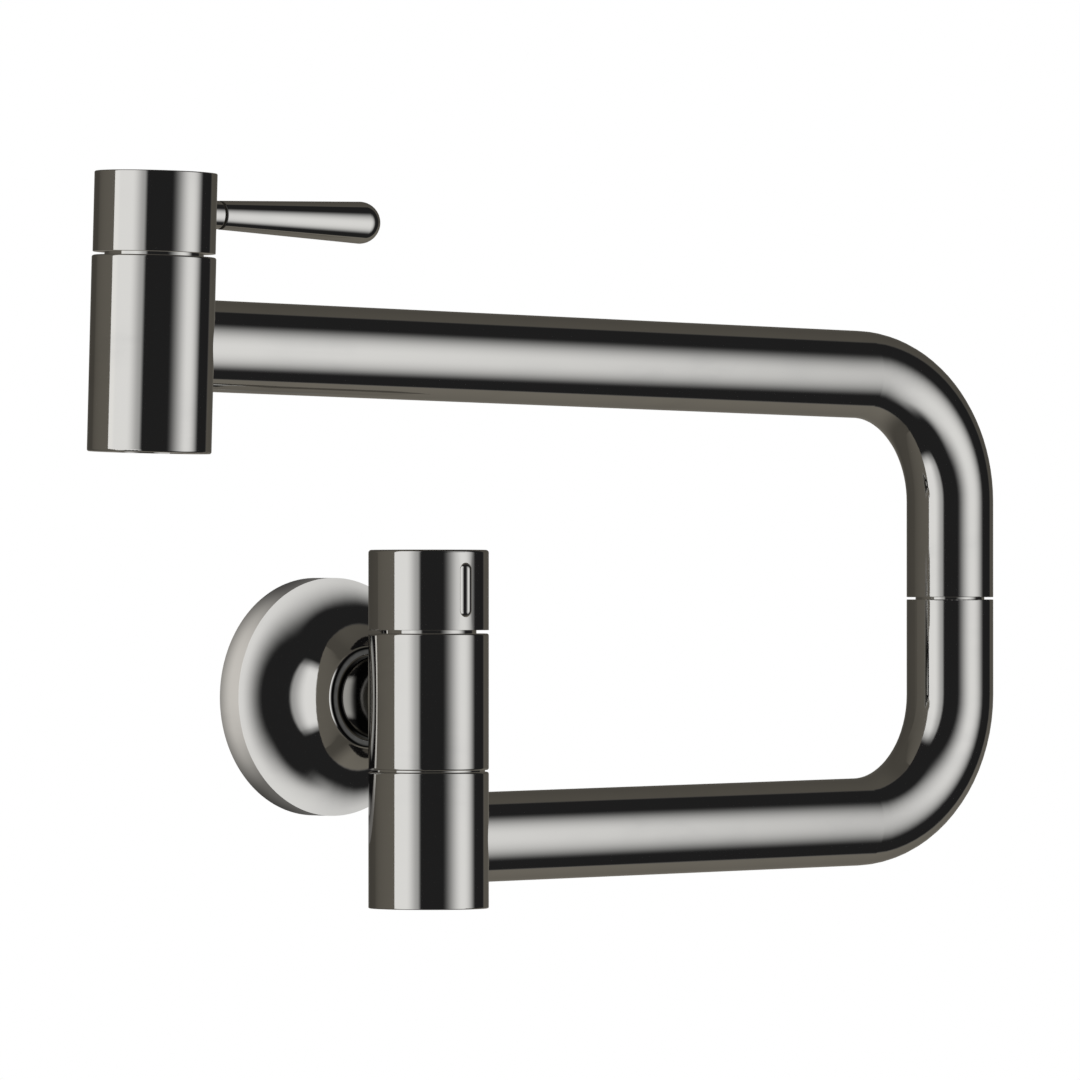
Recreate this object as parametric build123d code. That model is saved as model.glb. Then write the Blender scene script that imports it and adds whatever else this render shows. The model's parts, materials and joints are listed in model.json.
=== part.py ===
from build123d import *
import math
import os

os.makedirs("parts", exist_ok=True)

# Driving sizes, in millimetres and degrees. The origin is on the wall at the inlet, -Y leads off the wall.

# Whole tap
wall_to_axis = 62.2  # wall to the swivel axis
body_d = 40.0  # valve body, swivel hub and stop knob
tube_d = 30.0  # both arm tubes
tube_wall = 1.5
bend_radius = 43.5  # centre line of the arm bends
lower_reach = 229.0  # swivel axis to elbow axis
upper_reach = 343.0  # elbow axis to spout axis
lower_rise = 0.95  # climb of the lower arm towards the elbow
upper_rise = 1.1  # climb of the upper arm towards the spout
head_roll = 0.9  # spout head leaning off the wall, about the upper arm line
arm_spread = 152.3  # between the arm lines, at the elbow axis
edge_round = 0.4  # outer edges of the turned housings
seam_round = 0.7  # housing edges at the seams and the mouth
skirt_round = 0.15  # lower edges of the knobs
stop_round = 1.0  # top edge of the stop knob
tube_round = 0.3  # tube ends at the elbow

# Fits and clearances
running_fit = 0.05  # radial, between pieces that turn on one another
slip_fit = 0.03  # radial, between pieces that sit in one another
seal_fit = 0.03  # round a seal ring in its groove
groove_side = 0.2  # each side of a seal ring along the axis
braze_gap = 0.05  # tube ends on the hub and the head
knob_clear = 0.4  # radial, knob skirt round its collar
end_play = 0.3  # between ends that do not touch

# Wall rosette
rosette_d = 80.0
rosette_rim = 10.4
rosette_wall = 2.0
trumpet_r = 24.0  # hollow curve from the rim to the neck
neck_d = 33.8
neck_round = 1.8
neck_short = 4.4  # the curve stops this far before it runs along the stub
grip_land = 8.5  # bore length that guides the rosette on the stub
grip_groove = 1.9  # depth of the groove for the grip ring
wall_seal_w = 5.0
wall_seal_t = 2.5

# Wall nipple
thread_d = 20.955  # G1/2
thread_len = 15.0
nipple_bore = 12.0
nipple_hex = 22.0
nipple_hex_h = 5.0
plug_d = 22.0
plug_len = 20.0
plug_groove = 1.8
plug_seal_first = 3.5  # outer seal ring from the end of the plug
plug_seal_pitch = 5.0
thread_chamfer = 1.2

# Set screws
screw_d = 5.0
screw_key = 2.5
screw_key_depth = 2.0
screw_bite = 1.2  # depth of the groove that a set screw enters
screw_groove_w = 6.0

# Valve body
body_h = 45.3
body_above_inlet = 21.45
stub_d = 28.6
inlet_bore = 13.0
collar_step = 4.1  # collar set in from the housing's side
collar_h = 5.0

# Valve insert, the same in the body and in the spout head
flange_sink = 2.0  # flange seat below the top of the housing
flange_d = 25.0
flange_h = 1.5
insert_hex = 21.0
insert_hex_h = 4.5
insert_neck_d = 15.0
insert_neck_h = 4.0
insert_thread_d = 20.9
insert_thread_len = 9.2
flange_seal_d = 18.2
flange_seal_bore = 22.4
flange_seal_len = 2.8
insert_roof = 9.0  # flange seat to the roof of the disc cavity
insert_len = 27.0  # flange seat to the open end
seat_depth = 29.0  # flange seat to the valve seat
cage_d = 18.8
cage_wall = 1.8
window_w = 10.0
window_h = 5.0
chamber_d = 25.0
seat_bore = 12.5
seat_lip = 1.0  # seat seal inside the cage
disc_t = 3.5
port_r = 4.2
port_w = 3.2
port_sweep = 60.0
closing_turn = 90.0  # moving disc, from open to closed
tongue_w = 3.8
tongue_h = 1.2
foot_w = 10.0
spindle_d = 8.0
spindle_square = 7.0
square_len = 9.6
spindle_groove = 1.4
spindle_seal_drop = 4.0

# Stop knob
stop_gap = 1.1
stop_knob_h = 26.65
knob_cap = 3.0
drive_h = 15.5
bar_d = 4.7
bar_len = 18.2
bar_sink = 0.7  # bar axis inside the knob's side
knob_screw_len = 8.0

# Lower swivel
hub_gap = 0.58
hub_h = 45.3
arm_above_hub = 22.9  # arm line above the underside of the hub
glide_ring_d = 37.5
post_d = 24.0
post_bore = 12.5
post_root = 10.0  # post inside the valve body
post_len = 16.0  # post below the valve body
post_groove = 1.8
post_seal_pitch = 9.0
hub_chamber_d = 21.0
hub_floor = 9.5
arm_port_d = 18.0

# Elbow
elbow_gap = 0.78
elbow_plug_len = 16.0
elbow_post_h = 26.0
elbow_bore = 15.0
socket_wall = 1.5
elbow_groove = 1.8
elbow_seal_first = 6.5
elbow_seal_pitch = 6.0
lock_drop = 7.0  # lock ring below the top of the elbow post
lock_t = 2.0
lock_bite = 0.6  # lock ring into the socket
lock_depth = 1.3  # lock ring into the post
lock_split = 3.0
thrust_t = 1.2
thrust_inset = 0.6
socket_flange = 2.5

# Spout head
head_d = 40.5
head_above_arm = 28.35
head_below_arm = 35.45
lever_gap = 1.15
lever_knob_h = 26.15
lever_knob_inset = 0.25  # knob set in from the head's side
head_port_d = 13.0
head_port_up = 6.0  # water port above the arm line
aerator_d = 22.0
aerator_depth = 14.0
aerator_recess = 0.5
aerator_bore = 19.0
aerator_lip = 1.0
aerator_lip_w = 0.8
aerator_core_h = 7.0
aerator_hole = 2.0
aerator_pitch = 2.6
aerator_rings = 3
aerator_first_ring = 6  # holes in the innermost ring
aerator_seal_t = 1.5
aerator_seal_w = 2.4

# Lever
lever_up = 13.35  # lever line above the underside of its knob
lever_collar_len = 5.2
lever_collar_d = 9.35
lever_groove = 0.9
lever_base_d = 9.45
lever_end_d = 13.9
lever_tip = 90.6  # spout axis to the tip
lever_soft = 0.2  # rounding at both sides of the groove
stud_d = 5.0
stud_in = 9.0  # spout axis to the inner end of the stud
stud_in_lever = 10.0

# Heights above the inlet axis
body_bottom = body_above_inlet - body_h
hub_top = body_bottom - hub_gap
hub_bottom = hub_top - hub_h
lower_arm_z = hub_bottom + arm_above_hub
lower_corner_z = lower_arm_z + lower_reach * math.tan(math.radians(lower_rise))
upper_corner_z = lower_corner_z + arm_spread
elbow_z = (lower_corner_z + upper_corner_z) / 2
head_z = upper_corner_z + upper_reach * math.tan(math.radians(upper_rise))

# Frames: along the inlet, on the swivel axis, on the elbow axis, on the leaning spout axis
lean = math.radians(upper_rise)
roll = math.radians(head_roll)
wall_frame = Plane(origin=(0, 0, 0), x_dir=(1, 0, 0), z_dir=(0, -1, 0)).location
body_frame = Pos(0, -wall_to_axis, 0)
elbow_frame = Pos(lower_reach, -wall_to_axis, elbow_z)
head_frame = Plane(
    origin=(lower_reach - upper_reach, -wall_to_axis, head_z),
    x_dir=(math.cos(lean), 0, -math.sin(lean)),
    z_dir=(math.sin(lean) * math.cos(roll), -math.sin(roll), math.cos(lean) * math.cos(roll)),
).location


# Plain shapes on the Z axis


def rod(diameter, bottom, top):
    bar = Cylinder(diameter / 2, top - bottom, align=(Align.CENTER, Align.CENTER, Align.MIN))
    return Pos(0, 0, bottom) * bar


def ring(outer_d, inner_d, bottom, top):
    return rod(outer_d, bottom, top) - rod(inner_d, bottom, top)


def hexagon(across_flats, bottom, top):
    outline = RegularPolygon(across_flats / 2, 6, major_radius=False)
    return Pos(0, 0, bottom) * extrude(outline, top - bottom)


def block(width, depth, bottom, top):
    bar = Box(width, depth, top - bottom, align=(Align.CENTER, Align.CENTER, Align.MIN))
    return Pos(0, 0, bottom) * bar


def turned(outline):
    return revolve(Plane.XZ * outline, Axis.Z)


def drum(diameter, bottom, top, low_round, high_round):
    corners = [(0, bottom), (diameter / 2, bottom), (diameter / 2, top), (0, top)]
    outline = make_face(Polyline(*corners, close=True))
    outline = fillet(outline.vertices().group_by(Axis.X)[-1].sort_by(Axis.Y)[0], low_round)
    return turned(fillet(outline.vertices().group_by(Axis.X)[-1].sort_by(Axis.Y)[-1], high_round))


def radial(piece, height, angle):
    return Rot(0, 0, angle) * Pos(0, 0, height) * Rot(0, 90, 0) * piece


def seal(groove_d, bore_d, height):
    section = (bore_d - groove_d) / 2 - 2 * seal_fit
    return Pos(0, 0, height) * Torus((bore_d + groove_d) / 4, section / 2)


def seal_groove(groove_d, bore_d, height):
    half = (bore_d - groove_d) / 4 + groove_side
    return ring(bore_d, groove_d, height - half, height + half)


def set_screw(inner, outer):
    key = hexagon(screw_key, outer - screw_key_depth, outer)
    return rod(screw_d, inner, outer) - key


def screw_hole(inner, outer):
    return rod(screw_d + 2 * slip_fit, inner, outer)


# Wall rosette and its rubber

rosette_bore = stub_d + 2 * knob_clear
curve_r = neck_d / 2 + trumpet_r  # centre of the hollow curve
curve_h = rosette_rim + trumpet_r
neck_turn = math.asin(neck_short / trumpet_r)
neck_r = curve_r - trumpet_r * math.cos(neck_turn)
neck_h = curve_h - neck_short
lip_r = neck_r - neck_round * math.cos(neck_turn)  # centre of the rounded lip
lip_h = neck_h - neck_round * math.sin(neck_turn)
rosette_h = lip_h + neck_round
grip_groove_d = rosette_bore + 2 * grip_groove
grip_h = rosette_h - grip_land / 2
cavity_d = rosette_d - 2 * rosette_wall


def curve_point(radius, r):
    return (r, curve_h - math.sqrt(radius**2 - (curve_r - r) ** 2))


def curve_middle(radius, *ends):
    angles = [math.atan2(curve_h - h, curve_r - r) for r, h in ends]
    middle = sum(angles) / len(angles)
    return (curve_r - radius * math.cos(middle), curve_h - radius * math.sin(middle))


def wall_rosette():
    outer_r = rosette_d / 2
    inner_curve = trumpet_r + rosette_wall
    land_h = rosette_h - grip_land
    land_r = curve_r - math.sqrt(inner_curve**2 - (curve_h - land_h) ** 2)
    rim = curve_point(trumpet_r, outer_r)
    neck = (neck_r, neck_h)
    lip_turn = (neck_turn + math.pi / 2) / 2
    lip = (lip_r + neck_round * math.cos(lip_turn), lip_h + neck_round * math.sin(lip_turn))
    land = (land_r, land_h)
    cavity = curve_point(inner_curve, cavity_d / 2)
    edges = [
        Line((cavity_d / 2, 0), (outer_r, 0)),
        Line((outer_r, 0), rim),
        ThreePointArc(rim, curve_middle(trumpet_r, rim, neck), neck),
        ThreePointArc(neck, lip, (lip_r, rosette_h)),
        Line((lip_r, rosette_h), (rosette_bore / 2, rosette_h)),
        Line((rosette_bore / 2, rosette_h), (rosette_bore / 2, land_h)),
        Line((rosette_bore / 2, land_h), land),
        ThreePointArc(land, curve_middle(inner_curve, land, cavity), cavity),
        Line(cavity, (cavity_d / 2, 0)),
    ]
    shell = turned(make_face(edges))
    half = (grip_groove_d - stub_d) / 4 + groove_side
    return wall_frame * (shell - ring(grip_groove_d, stub_d, grip_h - half, grip_h + half))


def rosette_wall_seal():
    outer_d = cavity_d - 2 * slip_fit
    return wall_frame * ring(outer_d, outer_d - 2 * wall_seal_w, 0, wall_seal_t)


def rosette_grip_ring():
    return wall_frame * seal(stub_d, grip_groove_d, grip_h)


# Wall nipple with its seals and set screw

plug_bore = plug_d + 2 * slip_fit
plug_end = nipple_hex_h + plug_len
plug_groove_d = plug_d - 2 * plug_groove
plug_seal_h = [plug_end - plug_seal_first - plug_seal_pitch, plug_end - plug_seal_first]
stub_start = nipple_hex_h + end_play
stub_screw_h = stub_start + screw_groove_w / 2


def wall_nipple():
    thread = rod(thread_d, -thread_len, 0)
    thread = chamfer(thread.edges().group_by(Axis.Z)[0], thread_chamfer)
    plug = rod(plug_d, nipple_hex_h, plug_end)
    bite = ring(plug_bore, plug_d - 2 * screw_bite, stub_start, stub_start + screw_groove_w)
    nipple = thread + hexagon(nipple_hex, 0, nipple_hex_h) + plug - bite
    for height in plug_seal_h:
        nipple -= seal_groove(plug_groove_d, plug_bore, height)
    return wall_frame * (nipple - rod(nipple_bore, -thread_len, plug_end))


def nipple_seals():
    rings = [wall_frame * seal(plug_groove_d, plug_bore, height) for height in plug_seal_h]
    return Compound(children=rings)


def stub_set_screw():
    screw = set_screw(plug_d / 2 - screw_bite + slip_fit, stub_d / 2)
    return wall_frame * radial(screw, stub_screw_h, -90)


# Bores that take a valve insert, with the flange seat at the given height


def insert_bores(seat_z):
    neck_z = seat_z - flange_seal_len
    chamber_top = neck_z - insert_thread_len - end_play
    pocket = rod(flange_d + 2 * end_play, seat_z, seat_z + flange_sink + collar_h)
    recess = rod(flange_seal_bore, neck_z, seat_z)
    thread = rod(insert_thread_d + 2 * slip_fit, chamber_top, neck_z)
    chamber = rod(chamber_d, seat_z - seat_depth, chamber_top)
    return pocket + recess + thread + chamber


# Valve body

stop_seat_z = body_above_inlet - flange_sink
post_top = body_bottom + post_root


def valve_body():
    column = drum(body_d, body_bottom, body_above_inlet, seam_round, seam_round)
    column += rod(body_d - 2 * collar_step, body_above_inlet, body_above_inlet + collar_h)
    body = body_frame * column + wall_frame * rod(stub_d, stub_start, wall_to_axis)
    bores = insert_bores(stop_seat_z) + rod(seat_bore, post_top, stop_seat_z - seat_depth)
    bores += rod(post_d + 2 * slip_fit, body_bottom, post_top)
    inlet = rod(plug_bore, stub_start, plug_end + end_play)
    inlet += rod(inlet_bore, plug_end, wall_to_axis - cage_d / 2)
    inlet += radial(screw_hole(plug_d / 2 - screw_bite, stub_d / 2), stub_screw_h, -90)
    return body - body_frame * bores - wall_frame * inlet


# Valve insert, drawn with its flange seat at height zero

cage_bore = cage_d - 2 * cage_wall
disc_d = cage_bore - 2 * running_fit
disc_low = -insert_len + seat_lip
disc_mid = disc_low + disc_t
disc_top = disc_mid + disc_t
neck_top = flange_h + insert_hex_h + insert_neck_h
stem_bore = spindle_d + 2 * running_fit
stem_groove_d = spindle_d - 2 * spindle_groove
square_top = neck_top + end_play + square_len


def insert_body():
    thread_low = -flange_seal_len - insert_thread_len
    shank = rod(flange_seal_d, -flange_seal_len, 0) + rod(insert_thread_d, thread_low, -flange_seal_len)
    head = rod(flange_d, 0, flange_h) + hexagon(insert_hex, flange_h, flange_h + insert_hex_h)
    head += rod(insert_neck_d, flange_h + insert_hex_h, neck_top)
    insert = shank + head + rod(cage_d, -insert_len, thread_low)
    insert -= rod(cage_bore, -insert_len, -insert_roof)
    insert -= rod(stem_bore, -insert_roof, neck_top)
    window = block(cage_d + cage_wall, window_w, disc_top - window_h / 2, disc_top + window_h / 2)
    return insert - window


def flange_seal():
    return seal(flange_seal_d, flange_seal_bore, -flange_seal_len / 2)


def ported_disc(bottom, top, turn):
    port = extrude(SlotArc(CenterArc((0, 0), port_r, -port_sweep / 2, port_sweep), port_w), top - bottom)
    ports = Rot(0, 0, turn) * port + Rot(0, 0, turn + 180) * port
    return rod(disc_d, bottom, top) - Pos(0, 0, bottom) * ports


def fixed_disc():
    return ported_disc(disc_low, disc_mid, 0)


def moving_disc():
    slot = block(disc_d, tongue_w + 2 * slip_fit, disc_top - tongue_h - slip_fit, disc_top)
    return ported_disc(disc_mid, disc_top, closing_turn) - slot


def seat_seal():
    flange = ring(cage_d - 2 * slip_fit, seat_bore, -seat_depth, -insert_len)
    return flange + ring(cage_bore - 2 * slip_fit, seat_bore, -insert_len, disc_low)


def spindle():
    foot = rod(disc_d, disc_top, -insert_roof - running_fit) & block(disc_d, foot_w, disc_top, -insert_roof)
    tongue = block(foot_w, tongue_w, disc_top - tongue_h, disc_top)
    stem = rod(spindle_d, -insert_roof - running_fit, neck_top + end_play)
    stem -= seal_groove(stem_groove_d, stem_bore, -spindle_seal_drop)
    square = block(spindle_square, spindle_square, neck_top + end_play, square_top)
    return foot + tongue + stem + square


def spindle_seal():
    return seal(stem_groove_d, stem_bore, -spindle_seal_drop)


# Knobs and the hubs that drive the spindles

stop_bottom = body_above_inlet + stop_gap
stop_bore = body_d - 2 * collar_step + 2 * knob_clear
bar_r = body_d / 2 - bar_sink
stop_mid = stop_bottom + stop_knob_h / 2


def knob(outer_d, bore_d, bottom, height, high_round):
    top = bottom + height
    return drum(outer_d, bottom, top, skirt_round, high_round) - rod(bore_d, bottom, top - knob_cap)


def drive_hub(bore_d, top, seat_z):
    side = spindle_square + 2 * slip_fit
    square = block(side, side, top - drive_h, seat_z + square_top + end_play)
    return rod(bore_d - 2 * slip_fit, top - drive_h, top) - square


def grip_bar(diameter):
    half = (bar_len - bar_d) / 2
    bar = rod(diameter, -half, half)
    bar += Pos(0, 0, half) * Sphere(diameter / 2) + Pos(0, 0, -half) * Sphere(diameter / 2)
    return Pos(0, -bar_r, stop_mid) * bar


def stop_knob():
    shell = knob(body_d, stop_bore, stop_bottom, stop_knob_h, stop_round)
    shell -= grip_bar(bar_d + 2 * slip_fit)
    hole = screw_hole(stop_bore / 2 - knob_cap, body_d / 2)
    return body_frame * (shell - radial(hole, stop_mid, 90))


def stop_drive_hub():
    hub = drive_hub(stop_bore, stop_bottom + stop_knob_h - knob_cap, stop_seat_z)
    hole = screw_hole(body_d / 2 - knob_screw_len - end_play, body_d / 2)
    return body_frame * (hub - radial(hole, stop_mid, 90))


def stop_knob_screw():
    screw = set_screw(body_d / 2 - knob_screw_len, body_d / 2 - edge_round)
    return body_frame * radial(screw, stop_mid, 90)


# Lower swivel

hub_bore = post_d + 2 * running_fit
post_groove_d = post_d - 2 * post_groove
post_end = body_bottom - post_len
post_mid = (hub_top + post_end) / 2
post_seal_z = [post_mid + post_seal_pitch / 2, post_mid - post_seal_pitch / 2]
hub_screw_groove_d = post_d - 2 * screw_bite


def swivel_post():
    post = rod(post_d, post_end, post_top)
    half = screw_d / 2 + groove_side
    post -= ring(hub_bore, hub_screw_groove_d, post_mid - half, post_mid + half)
    for height in post_seal_z:
        post -= seal_groove(post_groove_d, hub_bore, height)
    return body_frame * (post - rod(post_bore, post_end, post_top))


def swivel_seals():
    rings = [body_frame * seal(post_groove_d, hub_bore, height) for height in post_seal_z]
    return Compound(children=rings)


def swivel_glide_ring():
    return body_frame * ring(glide_ring_d, hub_bore, hub_top, body_bottom)


def swivel_hub():
    floor = hub_bottom + hub_floor
    hub = drum(body_d, hub_bottom, hub_top, edge_round, seam_round)
    hub -= rod(hub_bore, post_end - end_play, hub_top) + rod(hub_chamber_d, floor, hub_top)
    hub -= radial(screw_hole(post_d / 2 - screw_bite, body_d / 2), post_mid, 90)
    port = Pos(0, 0, lower_arm_z) * Rot(0, -lower_rise, 0) * radial(rod(arm_port_d, 0, body_d), 0, 0)
    return body_frame * (hub - port)


def hub_set_screw():
    screw = set_screw(hub_screw_groove_d / 2 + end_play, body_d / 2 - edge_round)
    return body_frame * radial(screw, post_mid, 90)


# Arm tubes


def bent_tube(start, corner, end):
    path = FilletPolyline(start, corner, end, radius=bend_radius)
    section = Circle(tube_d / 2) - Circle(tube_d / 2 - tube_wall)
    return sweep(Plane(origin=path @ 0, z_dir=path % 0) * section, path)


def rounded_end(tube, level):
    return fillet(tube.edges().group_by(Axis.Z)[level].sort_by(SortBy.LENGTH)[-1], tube_round)


def lower_tube():
    start = (0, -wall_to_axis, lower_arm_z)
    corner = (lower_reach, -wall_to_axis, lower_corner_z)
    end = (lower_reach, -wall_to_axis, elbow_z - elbow_gap / 2)
    saddle = body_frame * rod(body_d + 2 * braze_gap, hub_bottom, hub_top)
    return rounded_end(bent_tube(start, corner, end) - saddle, -1)


def upper_tube():
    start = (lower_reach - upper_reach, -wall_to_axis, head_z)
    corner = (lower_reach, -wall_to_axis, upper_corner_z)
    end = (lower_reach, -wall_to_axis, elbow_z + elbow_gap / 2)
    saddle = head_frame * rod(head_d + 2 * braze_gap, -head_below_arm, head_above_arm)
    return rounded_end(bent_tube(start, corner, end) - saddle, 0)


# Elbow

elbow_plug_d = tube_d - 2 * tube_wall - 2 * slip_fit
socket_bore = elbow_plug_d - 2 * socket_wall
elbow_post_d = socket_bore - 2 * running_fit
elbow_groove_d = elbow_post_d - 2 * elbow_groove
elbow_low = -elbow_gap / 2
elbow_seal_z = [elbow_seal_first, elbow_seal_first + elbow_seal_pitch]
lock_z = elbow_post_h - lock_drop
lock_out_d = socket_bore + 2 * lock_bite
lock_in_d = elbow_post_d - 2 * lock_depth
flange_bore = elbow_bore + 2 * thrust_inset
flange_z = elbow_post_h + thrust_t


def lock_groove(outer_d, inner_d):
    half = lock_t / 2 + groove_side
    return ring(outer_d, inner_d, lock_z - half, lock_z + half)


def elbow_post():
    plug_low = elbow_low - elbow_plug_len
    post = rod(elbow_plug_d, plug_low, elbow_low) + rod(elbow_post_d, elbow_low, elbow_post_h)
    post -= rod(elbow_bore, plug_low, elbow_post_h) + lock_groove(socket_bore, lock_in_d)
    for height in elbow_seal_z:
        post -= seal_groove(elbow_groove_d, socket_bore, height)
    return elbow_frame * post


def elbow_seals():
    rings = [elbow_frame * seal(elbow_groove_d, socket_bore, height) for height in elbow_seal_z]
    return Compound(children=rings)


def elbow_lock_ring():
    outer_d = lock_out_d - 2 * groove_side
    inner_d = lock_in_d + 2 * seal_fit
    band = ring(outer_d, inner_d, lock_z - lock_t / 2, lock_z + lock_t / 2)
    split = Pos(outer_d / 2, 0, 0) * block(outer_d, lock_split, lock_z - lock_t, lock_z + lock_t)
    return elbow_frame * (band - split)


def elbow_thrust_ring():
    return elbow_frame * ring(elbow_post_d - 2 * thrust_inset, flange_bore, elbow_post_h, flange_z)


def elbow_socket():
    sleeve = ring(elbow_plug_d, socket_bore, -elbow_low, flange_z) - lock_groove(lock_out_d, socket_bore)
    return elbow_frame * (sleeve + ring(elbow_plug_d, flange_bore, flange_z, flange_z + socket_flange))


# Spout head with its outlet

spout_seat_z = head_above_arm - flange_sink
mouth_top = -head_below_arm + aerator_depth
mouth_low = -head_below_arm + aerator_recess
aerator_seal_low = mouth_top - aerator_seal_t
core_low = mouth_low + aerator_lip


def spout_head():
    head = drum(head_d, -head_below_arm, head_above_arm, seam_round, seam_round)
    head += rod(head_d - 2 * collar_step, head_above_arm, head_above_arm + collar_h)
    head -= insert_bores(spout_seat_z) + rod(seat_bore, mouth_top, spout_seat_z - seat_depth)
    head -= rod(aerator_d + 2 * slip_fit, -head_below_arm, mouth_top)
    return head_frame * (head - radial(rod(head_port_d, cage_d / 2, head_d), head_port_up, 0))


def aerator_ring():
    shell = ring(aerator_d, aerator_bore, mouth_low, aerator_seal_low)
    return head_frame * (shell + ring(aerator_bore, aerator_bore - 2 * aerator_lip_w, mouth_low, core_low))


def aerator_core():
    core = rod(aerator_bore - 2 * slip_fit, core_low, core_low + aerator_core_h)
    hole = rod(aerator_hole, core_low, core_low + aerator_core_h)
    holes = [hole]
    for step in range(1, aerator_rings + 1):
        holes += PolarLocations(aerator_pitch * step, aerator_first_ring * step) * hole
    return head_frame * (core - holes)


def aerator_seal():
    outer_d = aerator_d - 2 * slip_fit
    return head_frame * ring(outer_d, outer_d - 2 * aerator_seal_w, aerator_seal_low, mouth_top)


# Lever knob and lever

lever_bottom = head_above_arm + lever_gap
lever_knob_d = head_d - 2 * lever_knob_inset
lever_bore = head_d - 2 * collar_step + 2 * knob_clear
lever_z = lever_bottom + lever_up
collar_end = lever_knob_d / 2 + lever_collar_len
lever_start = collar_end + lever_groove
stud_end = lever_start + stud_in_lever
stud_hole_d = stud_d + 2 * slip_fit


def lever_knob():
    shell = knob(lever_knob_d, lever_bore, lever_bottom, lever_knob_h, edge_round)
    return head_frame * (shell - radial(rod(stud_hole_d, stud_in, lever_knob_d / 2), lever_z, 0))


def lever_drive_hub():
    hub = drive_hub(lever_bore, lever_bottom + lever_knob_h - knob_cap, spout_seat_z)
    hole = rod(stud_hole_d, stud_in - end_play, lever_knob_d / 2)
    return head_frame * (hub - radial(hole, lever_z, 0))


def lever_stud():
    return head_frame * radial(rod(stud_d, stud_in, stud_end), lever_z, 0)


def lever_collar():
    sleeve = rod(lever_collar_d, 0, collar_end)
    sleeve = fillet(sleeve.edges().group_by(Axis.Z)[-1], lever_soft) - rod(stud_hole_d, 0, collar_end)
    saddle = rod(lever_knob_d + 2 * braze_gap, lever_bottom, lever_bottom + lever_knob_h)
    return head_frame * (radial(sleeve, lever_z, 0) - saddle)


def lever_grip():
    base_r = lever_base_d / 2
    end_r = lever_end_d / 2
    ball_z = lever_tip - end_r
    run = ball_z - lever_start
    taper = math.asin(end_r / math.hypot(base_r, run)) - math.atan2(base_r, run)
    touch = (end_r * math.cos(taper), ball_z - end_r * math.sin(taper))
    swing = (math.pi / 2 - taper) / 2
    crown = (end_r * math.sin(swing), ball_z + end_r * math.cos(swing))
    outline = make_face(
        [
            Line((0, lever_start), (base_r, lever_start)),
            Line((base_r, lever_start), touch),
            ThreePointArc(touch, crown, (0, lever_tip)),
            Line((0, lever_tip), (0, lever_start)),
        ]
    )
    grip = turned(outline)
    grip = fillet(grip.edges().group_by(Axis.Z)[0], lever_soft)
    return head_frame * radial(grip - rod(stud_hole_d, lever_start, stud_end + end_play), lever_z, 0)


# Every piece, by its node name

stop_valve = body_frame * Pos(0, 0, stop_seat_z)
spout_valve = head_frame * Pos(0, 0, spout_seat_z)

pieces = {
    "wall_rosette": wall_rosette(),
    "rosette_wall_seal": rosette_wall_seal(),
    "rosette_grip_ring": rosette_grip_ring(),
    "wall_nipple": wall_nipple(),
    "nipple_seals": nipple_seals(),
    "stub_set_screw": stub_set_screw(),
    "valve_body": valve_body(),
    "stop_insert_body": stop_valve * insert_body(),
    "stop_flange_seal": stop_valve * flange_seal(),
    "stop_fixed_disc": stop_valve * fixed_disc(),
    "stop_seat_seal": stop_valve * seat_seal(),
    "stop_moving_disc": stop_valve * moving_disc(),
    "stop_spindle": stop_valve * spindle(),
    "stop_spindle_seal": stop_valve * spindle_seal(),
    "stop_knob": stop_knob(),
    "stop_grip_bar": body_frame * grip_bar(bar_d),
    "stop_drive_hub": stop_drive_hub(),
    "stop_knob_screw": stop_knob_screw(),
    "swivel_post": swivel_post(),
    "swivel_seals": swivel_seals(),
    "swivel_glide_ring": swivel_glide_ring(),
    "swivel_hub": swivel_hub(),
    "hub_set_screw": hub_set_screw(),
    "lower_tube": lower_tube(),
    "elbow_post": elbow_post(),
    "elbow_seals": elbow_seals(),
    "elbow_lock_ring": elbow_lock_ring(),
    "elbow_thrust_ring": elbow_thrust_ring(),
    "elbow_socket": elbow_socket(),
    "upper_tube": upper_tube(),
    "spout_head": spout_head(),
    "spout_insert_body": spout_valve * insert_body(),
    "spout_flange_seal": spout_valve * flange_seal(),
    "spout_fixed_disc": spout_valve * fixed_disc(),
    "spout_seat_seal": spout_valve * seat_seal(),
    "spout_moving_disc": spout_valve * moving_disc(),
    "spout_spindle": spout_valve * spindle(),
    "spout_spindle_seal": spout_valve * spindle_seal(),
    "aerator_ring": aerator_ring(),
    "aerator_core": aerator_core(),
    "aerator_seal": aerator_seal(),
    "lever_knob": lever_knob(),
    "lever_drive_hub": lever_drive_hub(),
    "lever_stud": lever_stud(),
    "lever_collar": lever_collar(),
    "lever_grip": lever_grip(),
}

for name, piece in pieces.items():
    export_step(piece, f"parts/{name}.step")
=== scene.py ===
import json
import math

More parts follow.
